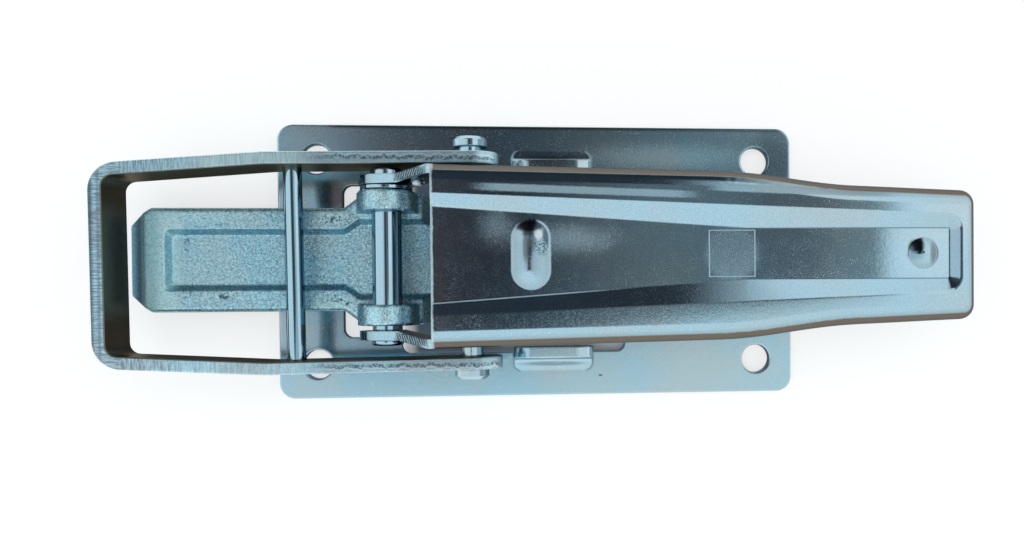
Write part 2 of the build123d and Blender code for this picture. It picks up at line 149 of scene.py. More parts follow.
def soft_step(tree, value, low, high, start=0.0, end=1.0):
    """Eases from start to end while the value goes from low to high."""
    sockets = {0: value, 1: low, 2: high, 3: start, 4: end}
    return add(tree, "ShaderNodeMapRange", sockets, interpolation_type="SMOOTHSTEP").outputs[0]


def blend_colours(tree, factor, first, second, way="MIX"):
    """Two colours mixed by a factor."""
    sockets = {0: factor, 6: first, 7: second}
    return add(tree, "ShaderNodeMix", sockets, data_type="RGBA", blend_type=way).outputs[2]


# %% Vectors and places


def vector_sums(tree, operation, first, second=(0, 0, 0)):
    """One step of vector arithmetic."""
    node = add(tree, "ShaderNodeVectorMath", {0: first, 1: second}, operation=operation)
    return node.outputs["Value" if operation in ("LENGTH", "DOT_PRODUCT") else "Vector"]


def coordinates(tree, kind="Object"):
    """The place on the piece in metres, or its normal, whole and as x, y and z."""
    whole = add(tree, "ShaderNodeTexCoord").outputs[kind]
    return (whole, *add(tree, "ShaderNodeSeparateXYZ", {0: whole}).outputs)


# %% [markdown]
# ## The studio around the latch
#
# Polished metal has no colour of its own to show, only its surroundings, so the studio is the
# first half of every finish. Seen from above, each surface mirrors one direction of the sky.
# Bright walls all round give zinc its pale blue shine, and a dark opening overhead, where the
# camera stands, gives the flat faces their deep tone.
#
# Real panels and flags round the latch would do this too, but each would have to be hidden from
# the camera. Here the sky itself is drawn, over two angles: along is how far a direction leans
# towards the handle's end, and across how far it leans to either side. Bands along the latch,
# for overhead and for each side, are blended by the angle across. Near the horizon the sky is
# white, as the floor is, and for the camera all of it is, so every view has a clean background.

# %% The sky's colours
NEARLY_WHITE = (0.93, 0.97, 0.98)
PALE = (0.80, 0.88, 0.90)
SILVER = (0.62, 0.70, 0.76)
MIST = (0.50, 0.57, 0.64)
SEA = (0.220, 0.265, 0.275)
HAZE = (0.150, 0.180, 0.190)
STEEL = (0.115, 0.135, 0.155)
DUSK = (0.105, 0.085, 0.095)
SLATE = (0.085, 0.095, 0.115)
LEAD = (0.075, 0.085, 0.095)
UMBER = (0.06, 0.05, 0.055)
DEEP = (0.030, 0.036, 0.047)
WHITE = (1, 1, 1)

# %% The sky's bands: degrees along, from overhead, and the colour there
OVERHEAD = [(-90, PALE), (-28, PALE), (-18, SILVER), (-13.5, MIST), (-9.5, DUSK), (-5, UMBER),
            (-2, DEEP), (1.5, LEAD), (4, STEEL), (7, HAZE), (11, HAZE), (12.5, STEEL),
            (16, STEEL), (18, SEA), (19.8, SEA), (20.3, PALE), (21.5, NEARLY_WHITE),
            (90, NEARLY_WHITE)]
NEAR_SIDE = [(-90, PALE), (90, PALE)]
FAR_SIDE = [(-90, PALE), (-34, PALE), (-20, SLATE), (-5, DEEP), (8, DEEP), (14, PALE),
            (90, NEARLY_WHITE)]
FAR_LOW = [(-90, PALE), (-50, PALE), (-30, SLATE), (-5, DEEP), (12, DEEP), (22, PALE),
           (90, NEARLY_WHITE)]

# %% Two angles for every direction of the sky
world = bpy.data.worlds.new("studio")
scene.world = world
world.use_nodes = True
sky = world.node_tree

_, lean_x, lean_y, lean_z = coordinates(sky, "Generated")
along = sums(sky, "DEGREES", sums(sky, "ARCSINE", lean_x))
across = sums(sky, "DEGREES", sums(sky, "ARCTAN2", lean_y, lean_z))


def band(stops):
    """A ramp of sky colours over the angle along the latch."""
    place = add(sky, "ShaderNodeMapRange", {0: along, 1: -90.0, 2: 90.0}).outputs[0]
    ramp = add(sky, "ShaderNodeValToRGB", {0: place})
    elements = ramp.color_ramp.elements
    while len(elements) < len(stops):
        elements.new(0.5)
    for element, (angle, colour) in zip(elements, stops):
        element.position = (angle + 90) / 180
        element.color = (*colour, 1)
    return ramp.outputs[0]


# %% The bands side by side
# Degrees across, where one band gives way to the next. The near one's edge runs at a slant.
OPENING_FROM = (-2.8, -2.2)
FAR_SIDE_FROM = (10.0, 14.0)
FAR_LOW_FROM = (30.0, 50.0)
SLANT = 0.16
SLANT_STARTS = -4.0
# How high the sky's direction points where its white horizon begins.
HORIZON = (0.28, 0.16)

slope = sums(sky, "MULTIPLY", sums(sky, "MAXIMUM", along, SLANT_STARTS), SLANT)
slanted = sums(sky, "SUBTRACT", across, slope)
shade = blend_colours(sky, soft_step(sky, slanted, *OPENING_FROM), band(NEAR_SIDE), band(OVERHEAD))
shade = blend_colours(sky, soft_step(sky, across, *FAR_SIDE_FROM), shade, band(FAR_SIDE))
shade = blend_colours(sky, soft_step(sky, across, *FAR_LOW_FROM), shade, band(FAR_LOW))
shade = blend_colours(sky, soft_step(sky, lean_z, *HORIZON), shade, NEARLY_WHITE)
at_camera = add(sky, "ShaderNodeLightPath").outputs["Is Camera Ray"]
shade = blend_colours(sky, at_camera, shade, WHITE)
backdrop = sky.nodes["Background"]
feed(sky, backdrop.inputs["Color"], shade)
backdrop.inputs["Strength"].default_value = 1.0
print("sky:", len(OVERHEAD), "stops overhead,", len(sky.nodes), "nodes")

# %% [markdown]
# ## The floor
#
# The floor is a white board, and the latch's soft shadow falls on its paint. Paint alone turns
# grey in soft light, and stronger lamps would burn out the zinc. So part of the board's
# whiteness is its own light, which only the camera, mirrored rays and rays through clear things
# see: the board is white in the render and in the metal, and doesn't light the latch. A painted
# and a glowing shader are mixed, with the Light Path node as the switch. Far off the board is
# all glow, so it runs into the white background without an edge.
#
# Two places on it are shaded, by masks on its own coordinates. Straight under the latch, mirrored
# rays find it dark, because upright bare metal would otherwise look lit from below. And the part
# that shows through the plate's window, under the handle, lies in deep shade.

# %% The board
FLOOR_HALF = 3.0
FLOOR_DROP = 0.0004


def plane_mesh(name, half, z):
    """A square sheet that faces up."""
    mesh = bpy.data.meshes.new(name)
    shape = bmesh.new()
    bmesh.ops.create_grid(shape, x_segments=1, y_segments=1, size=half)
    bmesh.ops.translate(shape, verts=shape.verts, vec=(0, 0, z))
    shape.to_mesh(mesh)
    shape.free()
    return mesh


floor = link("floor", plane_mesh("floor", FLOOR_HALF, -FLOOR_DROP))
print("floor", 2 * FLOOR_HALF, "m square,", FLOOR_DROP * 1000, "mm below the plate")

# %% The board's white paint
PAINT_WHITE = (0.95, 0.95, 0.95, 1)
floor_paint = bpy.data.materials.new("floor_paint")
floor_paint.use_nodes = True
tree = floor_paint.node_tree
paint = tree.nodes["Principled BSDF"]
paint.inputs["Base Color"].default_value = PAINT_WHITE
paint.inputs["Roughness"].default_value = 0.9
paint.inputs["Specular IOR Level"].default_value = 0.0
floor.data.materials.append(floor_paint)

# %% Masks for the board: under the latch, under the handle, and far off
# Each pair gives the metres where a mask starts and where it is full.
BESIDE = (0.034, 0.026)
LATCH_ENDS = (0.122, 0.112)
WINDOW_LEFT = (-0.042, -0.036)
WINDOW_RIGHT = (0.050, 0.040)
WINDOW_FADE = (-0.020, 0.002)
FAR = (0.35, 1.4)

spot, spot_x, spot_y, _ = coordinates(tree)
beside = soft_step(tree, sums(tree, "ABSOLUTE", spot_y), *BESIDE)
under_latch = product(tree, beside, soft_step(tree, sums(tree, "ABSOLUTE", spot_x), *LATCH_ENDS))
under_handle = product(tree, beside, soft_step(tree, spot_x, *WINDOW_LEFT),
                       soft_step(tree, spot_x, *WINDOW_RIGHT))
far_off = soft_step(tree, vector_sums(tree, "LENGTH", spot), *FAR)

# %% What each kind of ray sees of the board
OWN_LIGHT = 0.62
MIRRORED_SHADE = 0.96
WINDOW_SHADE = (0.88, 0.35)
SHADE_BROWN = (0.085, 0.077, 0.065)
SHADE_BLUE = (0.030, 0.050, 0.075)

rays = add(tree, "ShaderNodeLightPath").outputs
in_window = product(tree, rays["Is Camera Ray"], under_handle)
in_mirror = product(tree, rays["Is Glossy Ray"], under_latch)
open_floor = product(tree, rays["Is Camera Ray"], sums(tree, "SUBTRACT", 1.0, under_handle))
seen = strongest_of(tree, open_floor, rays["Is Glossy Ray"], rays["Is Transmission Ray"])
window_depth = soft_step(tree, spot_x, *WINDOW_FADE, *WINDOW_SHADE)
own_light = strongest_of(tree, product(tree, seen, OWN_LIGHT),
                         product(tree, in_mirror, MIRRORED_SHADE),
                         product(tree, in_window, window_depth), product(tree, seen, far_off))

# %% The board's two shaders
dark_board = blend_colours(tree, in_window, SHADE_BROWN, SHADE_BLUE)
shaded = strongest_of(tree, in_mirror, in_window)
glow_colour = blend_colours(tree, shaded, WHITE, dark_board)
glow = add(tree, "ShaderNodeEmission", {"Color": glow_colour, "Strength": 1.0})
board = add(tree, "ShaderNodeMixShader", {0: own_light, 1: paint.outputs[0], 2: glow.outputs[0]})
tree.links.new(board.outputs[0], tree.nodes["Material Output"].inputs["Surface"])
print("floor_paint:", len(tree.nodes), "nodes")

# %% [markdown]
# ## The lamp
#
# Most light comes from the sky. One large lamp high overhead adds the soft direction that gives
# the latch its shadow. A small lamp would do it too, with a hard shadow that doesn't suit a
# studio. Metal doesn't mirror the lamp, because the sky is already drawn for that.

# %% One soft lamp


def area_lamp(name, place, aim, size, power):
    """A soft rectangular lamp that looks at a point, and isn't mirrored."""
    data = bpy.data.lights.new(name, "AREA")
    data.shape = "RECTANGLE"
    data.size, data.size_y = size
    data.energy = power
    lamp = link(name, data)
    lamp.location = place
    lamp.rotation_euler = (Vector(aim) - Vector(place)).to_track_quat("-Z", "Y").to_euler()
    lamp.visible_glossy = False
    print(name, power, "W")


area_lamp("lamp_top", place=(-0.1, 0.1, 1.2), aim=(0, 0, 0), size=(1.4, 1.0), power=9.0)

# %% [markdown]
# ## What every zinc finish shares
#
# Up close, plated steel isn't smooth. Fine crystals scatter sparks of light into its dark
# reflections, clouds of blue and grey lie over it where the passivation is thicker, and its
# edges are softly rounded: duller, and on the handle with a painted highlight. The same nodes
# could be wired again in every material, but then each change would have to be made in all of
# them. So each effect is a node group, built once and placed in every material with its own
# values. All of them read object coordinates, in metres, so a pattern stays with its piece when
# it swings.

# %% Tools for node groups


def new_group(name, inputs, outputs):
    """A node group with named sockets. Gives the tree and its input and output nodes."""
    group = bpy.data.node_groups.new(name, "ShaderNodeTree")
    face = group.interface
    for label, kind, value in inputs:
        socket = face.new_socket(label, in_out="INPUT", socket_type="NodeSocket" + kind)
        socket.default_value = value
    for label, kind in outputs:
        face.new_socket(label, in_out="OUTPUT", socket_type="NodeSocket" + kind)
    taken = group.nodes.new("NodeGroupInput").outputs
    given = group.nodes.new("NodeGroupOutput").inputs
    return group, taken, given


def place_group(tree, group, **sockets):
    """A group placed in a material. Its outputs are found by name."""
    node = add(tree, "ShaderNodeGroup", node_tree=group)
    for name, value in sockets.items():
        feed(tree, node.inputs[name.replace("_", " ").title()], value)
    return node.outputs


def noise(tree, scale, detail=2.0, rough=0.5, stretch=None):
    """Noise on object coordinates. The scale is in grains per metre."""
    where = add(tree, "ShaderNodeTexCoord").outputs["Object"]
    if stretch:
        where = add(tree, "ShaderNodeMapping", {0: where, 3: stretch}).outputs[0]
    sockets = {"Vector": where, "Scale": scale, "Detail": detail, "Roughness": rough}
    return add(tree, "ShaderNodeTexNoise", sockets).outputs[0]


# %% Crystal grain: height for the bump, bright flecks, clouds of tint and a fine mottle
grain_group, taken, given = new_group(
    "crystal_grain",
    [("Grains Per Metre", "Float", 2600.0), ("Clouds Per Metre", "Float", 60.0),
     ("Fleck Share", "Float", 0.3)],
    [("Height", "Float"), ("Flecks", "Float"), ("Clouds", "Float"), ("Mottle", "Float")])
grains = taken["Grains Per Metre"]

fine = noise(grain_group, grains, 3.0, 0.65)
coarse = noise(grain_group, product(grain_group, grains, 0.35))
height = sums(grain_group, "ADD", fine, product(grain_group, coarse, 0.9))
feed(grain_group, given["Height"], height)

specks = noise(grain_group, product(grain_group, grains, 1.7), 1.0)
least = sums(grain_group, "SUBTRACT", 0.80, product(grain_group, taken["Fleck Share"], 0.5))
most = sums(grain_group, "ADD", least, 0.12)
drift = soft_step(grain_group, noise(grain_group, 240.0, 3.0, 0.6), 0.35, 0.65, 0.35, 1.0)
flecks = product(grain_group, soft_step(grain_group, specks, least, most), drift)
feed(grain_group, given["Flecks"], flecks)

clouds = noise(grain_group, taken["Clouds Per Metre"], 3.0)
feed(grain_group, given["Clouds"], soft_step(grain_group, clouds, 0.36, 0.66))
mottle = noise(grain_group, product(grain_group, grains, 0.9), 3.0, 0.7)
feed(grain_group, given["Mottle"], soft_step(grain_group, mottle, 0.30, 0.70))
print(grain_group.name, len(grain_group.nodes), "nodes")

# %% Rounded edge: the relief of a rounded edge and the mask of where it is
edge_group, taken, given = new_group(
    "rounded_edge",
    [("Height", "Float", 0.0), ("Depth", "Float", 0.00001), ("Edge Radius", "Float", 0.0003)],
    [("Normal", "Vector"), ("Edge", "Float")])
rounded = add(edge_group, "ShaderNodeBevel", {"Radius": taken["Edge Radius"]}, samples=6)
true_normal = add(edge_group, "ShaderNodeNewGeometry").outputs["True Normal"]
turned_by = vector_sums(edge_group, "DOT_PRODUCT", rounded.outputs[0], true_normal)
feed(edge_group, given["Edge"], soft_step(edge_group, turned_by, 0.97, 0.80))
relief = add(edge_group, "ShaderNodeBump",
             {"Strength": 1.0, "Distance": taken["Depth"], "Height": taken["Height"],
              "Normal": rounded.outputs[0]})
feed(edge_group, given["Normal"], relief.outputs[0])
print(edge_group.name, len(edge_group.nodes), "nodes")

# %% Steep face: a mask of the faces that stand upright on the piece
steep_group, taken, given = new_group(
    "steep_face",
    [("Starts At", "Float", 0.6), ("Full At", "Float", 0.3)],
    [("Mask", "Float")])
up = coordinates(steep_group, "Normal")[3]
upright = soft_step(steep_group, sums(steep_group, "ABSOLUTE", up),
                    taken["Starts At"], taken["Full At"])
feed(steep_group, given["Mask"], upright)
print(steep_group.name, len(steep_group.nodes), "nodes")

# %% Soft patch: a place on the piece, round a centre, with a ragged or a soft rim
patch_group, taken, given = new_group(
    "soft_patch",
    [("Centre", "Vector", (0, 0, 0)), ("Half Size", "Vector", (0.01, 0.01, 0.01)),
     ("Ragged", "Float", 0.25), ("Softness", "Float", 0.6)],
    [("Mask", "Float")])
offset = vector_sums(patch_group, "SUBTRACT", coordinates(patch_group)[0], taken["Centre"])
distance = vector_sums(patch_group, "LENGTH",
                       vector_sums(patch_group, "DIVIDE", offset, taken["Half Size"]))
wobble = sums(patch_group, "SUBTRACT", noise(patch_group, 300.0, 4.0), 0.5)
wobble = product(patch_group, wobble, product(patch_group, taken["Ragged"], 4.0))
rim = sums(patch_group, "ADD", distance, wobble)
inner = sums(patch_group, "SUBTRACT", 1.0, taken["Softness"])
outer = sums(patch_group, "ADD", 1.0, product(patch_group, taken["Softness"], 0.5))
feed(patch_group, given["Mask"], soft_step(patch_group, rim, outer, inner))
print(patch_group.name, len(patch_group.nodes), "nodes")

# %% [markdown]
# ## The zinc recipe
#
# All finishes share one recipe: a blue zinc colour, clouds of a second tint, bright flecks, and
# a relief of grain over softly rounded edges. Each material then adds what its own piece went
# through, and painted light and shade, in two ways. A stain changes the colour of what is
# mirrored, as a film on the metal does; most stains here are painted shade, highlights and
# reflections. A haze makes the metal rougher, so that it mirrors a wider part of the studio and,
# in a dark part, looks paler. Bare metal turns white where it is seen at a slant, and a plated
# face less so, which is what the tint for grazing angles is for.
#
# One long function for each material would hide these steps. The recipe is kept in one object
# instead, so that later cells can go on from its colour and its roughness.

# %% Colours of zinc, of what lies on it, and of painted shade, highlights and reflections
ZINC_BLUE = (0.47, 0.68, 0.80)
ZINC_GREY = (0.52, 0.64, 0.70)
# Besides flecks, scratches and the bail's lip, FLECK_COLOUR is the painted highlight on the
# handle's edges and creases. Of the next four colours, the brown and the near black are painted
# reflections, the dark blue is painted shade and reflection on upright faces (and a dark line on
# the bail), and the deepest is painted shade on the handle's bumps.
FLECK_COLOUR = (0.80, 0.90, 0.95)
ROLL_REFLECTION_BROWN = (0.17, 0.13, 0.095)
INNER_REFLECTION_DARK = (0.20, 0.18, 0.145)
DARK_BLUE = (0.16, 0.27, 0.36)
DEEP_SHADE = (0.045, 0.055, 0.070)
GRAZING_TINT = (0.42, 0.50, 0.56)
FLECK_ROUGHNESS = 0.45

# %% The recipe


class Zinc:
    """One zinc finish while it is made: its node tree, its groups, its colour and roughness."""

    def __init__(self, name, grains=2600.0, clouds=60.0, flecks=0.3, depth=0.000006, edge=0.0003,
                 roughness=0.12, colour=ZINC_BLUE, cloud_colour=ZINC_GREY, mottling=0.05,
                 fleck_strength=0.5, contrast=0.12, grazing=GRAZING_TINT, metallic=1.0):
        self.material = bpy.data.materials.new(name)
        self.material.use_nodes = True
        tree = self.tree = self.material.node_tree
        self.shader = tree.nodes["Principled BSDF"]
        self.shader.inputs["Metallic"].default_value = metallic
        self.shader.inputs["Specular Tint"].default_value = (*grazing, 1.0)
        grain = place_group(tree, grain_group, grains_per_metre=grains,
                            clouds_per_metre=clouds, fleck_share=flecks)
        self.edge_relief = place_group(tree, edge_group, height=grain["Height"], depth=depth,
                                edge_radius=edge)
        tree.links.new(self.edge_relief["Normal"], self.shader.inputs["Normal"])
        self.colour = blend_colours(tree, grain["Clouds"], colour, cloud_colour)
        self.shade(soft_step(tree, grain["Mottle"], 0.0, 1.0, 1.0 - contrast, 1.0 + contrast))
        bright = product(tree, grain["Flecks"], fleck_strength)
        self.colour = blend_colours(tree, bright, self.colour, FLECK_COLOUR)
        self.roughness = sums(tree, "ADD", roughness, product(tree, grain["Mottle"], mottling))
        self.haze(bright, FLECK_ROUGHNESS)

    def shade(self, grey):
        """Makes the metal lighter or darker by a factor that changes over the surface."""
        self.colour = blend_colours(self.tree, 1.0, self.colour, grey, "MULTIPLY")

    def stain(self, mask, colour, amount=1.0):
        """Lays a colour over the metal where the mask is."""
        factor = product(self.tree, mask, amount)
        self.colour = blend_colours(self.tree, factor, self.colour, colour)

    def haze(self, mask, roughness):
        """Dulls the metal where the mask is: it mirrors a wider part of the room."""
        more = product(self.tree, mask, roughness)
        self.roughness = sums(self.tree, "ADD", self.roughness, more)

    def steep(self, starts_at, full_at):
        """The faces that stand upright on the piece. Flat is 1 and upright is 0."""
        return place_group(self.tree, steep_group, starts_at=starts_at, full_at=full_at)["Mask"]

    def patch(self, centre, half_size, ragged, softness):
        """A soft mask round a point, both in millimetres."""
        centre = [v / 1000 for v in centre]
        half_size = [v / 1000 for v in half_size]
        return place_group(self.tree, patch_group, centre=centre, half_size=half_size,
                           ragged=ragged, softness=softness)["Mask"]

    def stain_patches(self, rows):
        """Stains, each from a centre, half size, raggedness, softness, colour and amount."""
        for *place, colour, amount in rows:
            self.stain(self.patch(*place), colour, amount)

    def haze_patches(self, rows):
        """Hazes, each from a centre, half size, raggedness, softness and added roughness."""
        for *place, roughness in rows:
            self.haze(self.patch(*place), roughness)

    def report(self, what):
        """Says how far the finish has come."""
        print(self.material.name, "-", what, "-", len(self.tree.nodes), "nodes")

    def finish(self, *piece_names):
        """Connects the recipe and gives it to CAD nodes."""
        feed(self.tree, self.shader.inputs["Base Color"], self.colour)
        feed(self.tree, self.shader.inputs["Roughness"], self.roughness)
        for name in piece_names:
            slots = nodes[name].data.materials
            slots.clear()
            slots.append(self.material)
        self.report("given to " + (", ".join(piece_names) or "new pieces"))


# %% [markdown]
# ## The handle's colours
#
# The handle is drawn from polished sheet and stays almost a mirror. Where the sheet rolls over
# into its sides, a brown painted reflection lies on it, a grey one where its faces begin to turn,
# and a dark blue one on the cheeks in front. The rounded edges get a painted highlight, and the
# front edge shows as a bright ragged painted highlight. Painting these by hand on an image would
# work, but the masks here come from the surface's own normal and height, so they follow the
# pressing's curves wherever it is seen from.

# %% The handle: painted reflections on its rolled sides and cheeks, and a painted edge highlight
ROLL = (0.0330, 0.0346)
CHEEKS = (-0.0290, -0.0300)
TURN_REFLECTION_GREY = (0.36, 0.46, 0.50)

pressed = Zinc("pressed_zinc", clouds=28.0, depth=0.0000025, roughness=0.05, mottling=0.04,
               flecks=0.46, fleck_strength=0.30, edge=0.0005, contrast=0.07)
tree = pressed.tree
_, x, y, z = coordinates(tree)
steep = pressed.steep(0.86, 0.77)
# Painted reflections: grey where the faces begin to turn, brown on the rolled sides, and dark blue
# on the cheeks in front.
pressed.stain(pressed.steep(0.975, 0.86), TURN_REFLECTION_GREY, 0.55)
pressed.stain(product(tree, steep, soft_step(tree, z, *ROLL)), ROLL_REFLECTION_BROWN, 0.95)
pressed.stain(product(tree, steep, soft_step(tree, x, *CHEEKS)), DARK_BLUE, 0.9)
# Rounded edges: duller, and with a painted highlight laid on them.
pressed.haze(pressed.edge_relief["Edge"], 0.35)
pressed.stain(pressed.edge_relief["Edge"], FLECK_COLOUR, 0.5)
pressed.report("film and rounded edges")

# %% The handle: a painted highlight along its front edge
FRONT_EDGE = -0.0283
EDGE_RAGGED = 0.0006
EDGE_BLUR = (0.0002, -0.0002)
BEHIND_CHEEKS = (-0.0298, -0.0290)

ragged_front = sums(tree, "MULTIPLY_ADD", noise(tree, 900.0, 3.0, 0.6), EDGE_RAGGED, FRONT_EDGE)
in_front = soft_step(tree, sums(tree, "SUBTRACT", x, ragged_front), *EDGE_BLUR)
front_highlight = product(tree, in_front, soft_step(tree, x, *BEHIND_CHEEKS))
# A bright ragged painted highlight along the front edge, which is also duller there.
pressed.haze(front_highlight, 0.40)
pressed.stain(front_highlight, FLECK_COLOUR, 0.6)
pressed.report("the bright front edge")

# %% [markdown]
# ## Dull places in the handle's polish
#
# A pressing isn't polished after the press. Where the punch pulled the sheet, the shine is dull
# in soft patches beside the long bump, and in two narrow streaks along the shoulder. The pad at
# the grip's end was pressed flat and shines more, so its haze is less than nothing. Dullness is
# roughness and not colour: it shows only where the dark part of the sky is mirrored, which a
# lighter colour would get wrong as soon as the latch turns.

# %% The handle: hazy patches
HANDLE_HAZES = [
    ((-11.5, 8, 38), (6, 6, 9), 0.08, 0.9, 0.17),
    ((8, 4.5, 38), (15, 5, 9), 0.08, 0.9, 0.20),
    ((51.1, 0.45, 38), (8, 8, 9), 0.03, 0.25, 0.10),
    ((91, 0.4, 38), (12, 8, 9), 0.0, 0.3, -0.045)]
pressed.haze_patches(HANDLE_HAZES)

# %% The handle: two streaks along the shoulder
# Where each starts and ends along the handle, and how far out it lies at x = 0.
STREAKS = [(-0.022, 0.046, 0.01745), (0.040, 0.100, 0.01965)]
STREAK_SLANT = -0.034
STREAK_FADE = 0.012
STREAK_HALF = (0.0014, 0.0006)
STREAK_HAZE = 0.34

for start, end, y_at_zero in STREAKS:
    middle = sums(tree, "MULTIPLY_ADD", x, STREAK_SLANT, y_at_zero)
    streak = product(tree, soft_step(tree, gap_to(tree, y, middle), *STREAK_HALF),
                     soft_step(tree, x, start, start + STREAK_FADE),
                     soft_step(tree, x, end, end - STREAK_FADE))
    pressed.haze(streak, STREAK_HAZE)
pressed.report(f"{len(HANDLE_HAZES)} hazy patches and {len(STREAKS)} streaks")

# %% [markdown]
# ## The creases of the sunk panel
#
# Where the panel's floor meets its slopes, a fine line is painted. In front it is a painted
# highlight, and towards the grip a dark painted shade. It could be found from the curvature of
# the mesh, but that differs with how finely the mesh is cut. The line is drawn from the panel's
# own measures instead: a taper on each side, and one straight line at the end.

# %% The handle: the panel's crease lines
# The floor's half width goes from the first to the second value between two places along x.
TAPER_X = (-0.0286, 0.055)
TAPER_HALF = (0.0129, 0.0069)
PANEL_MIDDLE = 0.00035
PANEL_END = 0.1117
SIDES_STOP = (0.1119, 0.1116)
END_STOPS = (0.0070, 0.0067)
SIDE_LINE = (0.00028, 0.00006)
END_LINE = (0.00035, 0.00008)

taper = dict(enumerate((x, *TAPER_X, *TAPER_HALF)))
half_floor = add(tree, "ShaderNodeMapRange", taper).outputs[0]
from_middle = gap_to(tree, y, PANEL_MIDDLE)
to_side = gap_to(tree, from_middle, half_floor)
side_line = product(tree, soft_step(tree, to_side, *SIDE_LINE), soft_step(tree, x, *SIDES_STOP))
end_line = product(tree, soft_step(tree, gap_to(tree, x, PANEL_END), *END_LINE),
                   soft_step(tree, from_middle, *END_STOPS))
crease = strongest_of(tree, side_line, end_line)
# A painted highlight on the crease in front, and painted shade on it towards the grip.
crease_highlight = product(tree, crease, soft_step(tree, x, 0.030, 0.005))
crease_shade = product(tree, crease, soft_step(tree, x, 0.05, 0.09))
pressed.haze(crease_highlight, 0.4)
pressed.stain(crease_highlight, FLECK_COLOUR, 0.6)
pressed.stain(crease_shade, DARK_BLUE, 0.85)
pressed.report("the panel's creases")

# %% [markdown]
# ## Dull places, painted shade and painted highlights on the handle
#
# The long bump's light and shade are painted, over a few dull places: a deep painted shade at one
# end, a painted highlight beside it, a dark painted reflection down its back and a speckled dark
# edge between them. The finger dimple at the grip has a painted dark side too. No pattern makes
# marks like these, so each is a soft patch of its own, listed by where it lies in millimetres. A
# mask of the bump's height keeps its marks from spilling onto the panel.

# %% The handle: dull places, and painted shade and highlights, on the long bump
# Centre and half size on the bump, and how much duller it is there.
BUMP_HAZES = [((0.2, -2.4), (3.0, 5.4), 0.45), ((-6.4, -1.0), (2.4, 7.0), 0.35),
              ((-0.6, 5.5), (1.1, 1.3), 0.45)]
# Centre, half size, colour, amount, raggedness, softness, and whether it is speckled.
# Painted shade, painted reflections and one painted highlight on the bump's sides.
BUMP_SHADES_AND_HIGHLIGHTS = [
    ((-2.9, 8.0), (4.6, 1.9), DEEP_SHADE, 0.93, 0.05, 0.35, False),
    ((1.6, 5.2), (1.4, 3.2), (0.06, 0.10, 0.15), 0.85, 0.10, 0.5, False),
    ((0.4, 2.2), (2.2, 2.2), (0.07, 0.13, 0.19), 0.9, 0.08, 0.7, True),
    ((-4.0, 2.2), (0.8, 4.6), (0.14, 0.13, 0.125), 0.7, 0.05, 0.5, False),
    ((-0.6, 5.5), (1.1, 1.3), (0.95, 0.98, 1.0), 1.0, 0.05, 0.5, False)]
BUMP_Z = 39
BUMP_STARTS = (0.03835, 0.03860)

on_bump = soft_step(tree, z, *BUMP_STARTS)
speckle = soft_step(tree, noise(tree, 1900.0, 2.0, 0.7), 0.44, 0.56)
for centre, half_size, dullness in BUMP_HAZES:
    dull = pressed.patch((*centre, BUMP_Z), (*half_size, 9), 0.03, 0.45)
    pressed.haze(product(tree, dull, on_bump), dullness)
for centre, half_size, colour, amount, ragged, softness, speckled in BUMP_SHADES_AND_HIGHLIGHTS:
    mark = pressed.patch((*centre, BUMP_Z), (*half_size, 9), ragged, softness)
    mark = product(tree, on_bump, mark)
    pressed.stain(product(tree, mark, speckle) if speckled else mark, colour, amount)
pressed.report(f"{len(BUMP_HAZES)} dull places and {len(BUMP_SHADES_AND_HIGHLIGHTS)} marks on the bump")

# %% The handle: painted shade on the finger dimple, and painted shadow where the cheeks are set outwards
GREY_SHADE = (0.14, 0.13, 0.12)
JOG_SHADOW = (0.06, 0.08, 0.10)
# The first three are painted shade on the dimple's sides; the last two are painted shadow between
# the teeth of the jog.
pressed.stain_patches([
    ((102.0, 2.2, 38), (2.2, 2.1, 9), 0.12, 0.35, DEEP_SHADE, 0.85),
    ((102.0, -0.2, 38), (2.4, 1.6, 9), 0.10, 0.7, DARK_BLUE, 0.45),
    ((106.8, 0.4, 38), (1.2, 3.2, 9), 0.03, 0.6, GREY_SHADE, 0.65),
    ((-34.5, 22.0, 34), (4.6, 2.6, 6), 0.05, 0.3, JOG_SHADOW, 0.9),
    ((-34.5, -22.0, 34), (4.6, 2.6, 6), 0.05, 0.3, JOG_SHADOW, 0.9)])
pressed.finish("handle")

# %% [markdown]
# ## The plate
#
# The base plate is flat rolled sheet, duller than the handle and with fine scratches along the
# rolling. Its long far edge is darker, the walls of the bolt holes get painted shade, and the two
# lugs that were bent up from it get painted reflections of other parts of the room. One noise
# stretched along the plate makes the scratches: a few long grains instead of drawn lines. The
# stains are patches placed one by one, as on the handle.

# %% The plate: its sheet, hazes, and painted reflections and other stains
plate = Zinc("plate_zinc", clouds=30.0, depth=0.000004, roughness=0.11, mottling=0.07,
             flecks=0.42, fleck_strength=0.35, edge=0.0005, colour=(0.44, 0.68, 0.80),
             cloud_colour=(0.54, 0.66, 0.70), contrast=0.05)
tree = plate.tree
where, x, y, _ = coordinates(tree)
plate.haze(plate.edge_relief["Edge"], 0.25)
plate.haze_patches([
    ((36, 31.0, 3), (26, 5.0, 9), 0.08, 0.9, 0.16),
    ((-72, 34, 3), (10, 8, 9), 0.10, 0.8, 0.16),
    ((3, 26.4, 6), (19, 1.6, 9), 0.0, 0.3, 0.40)])
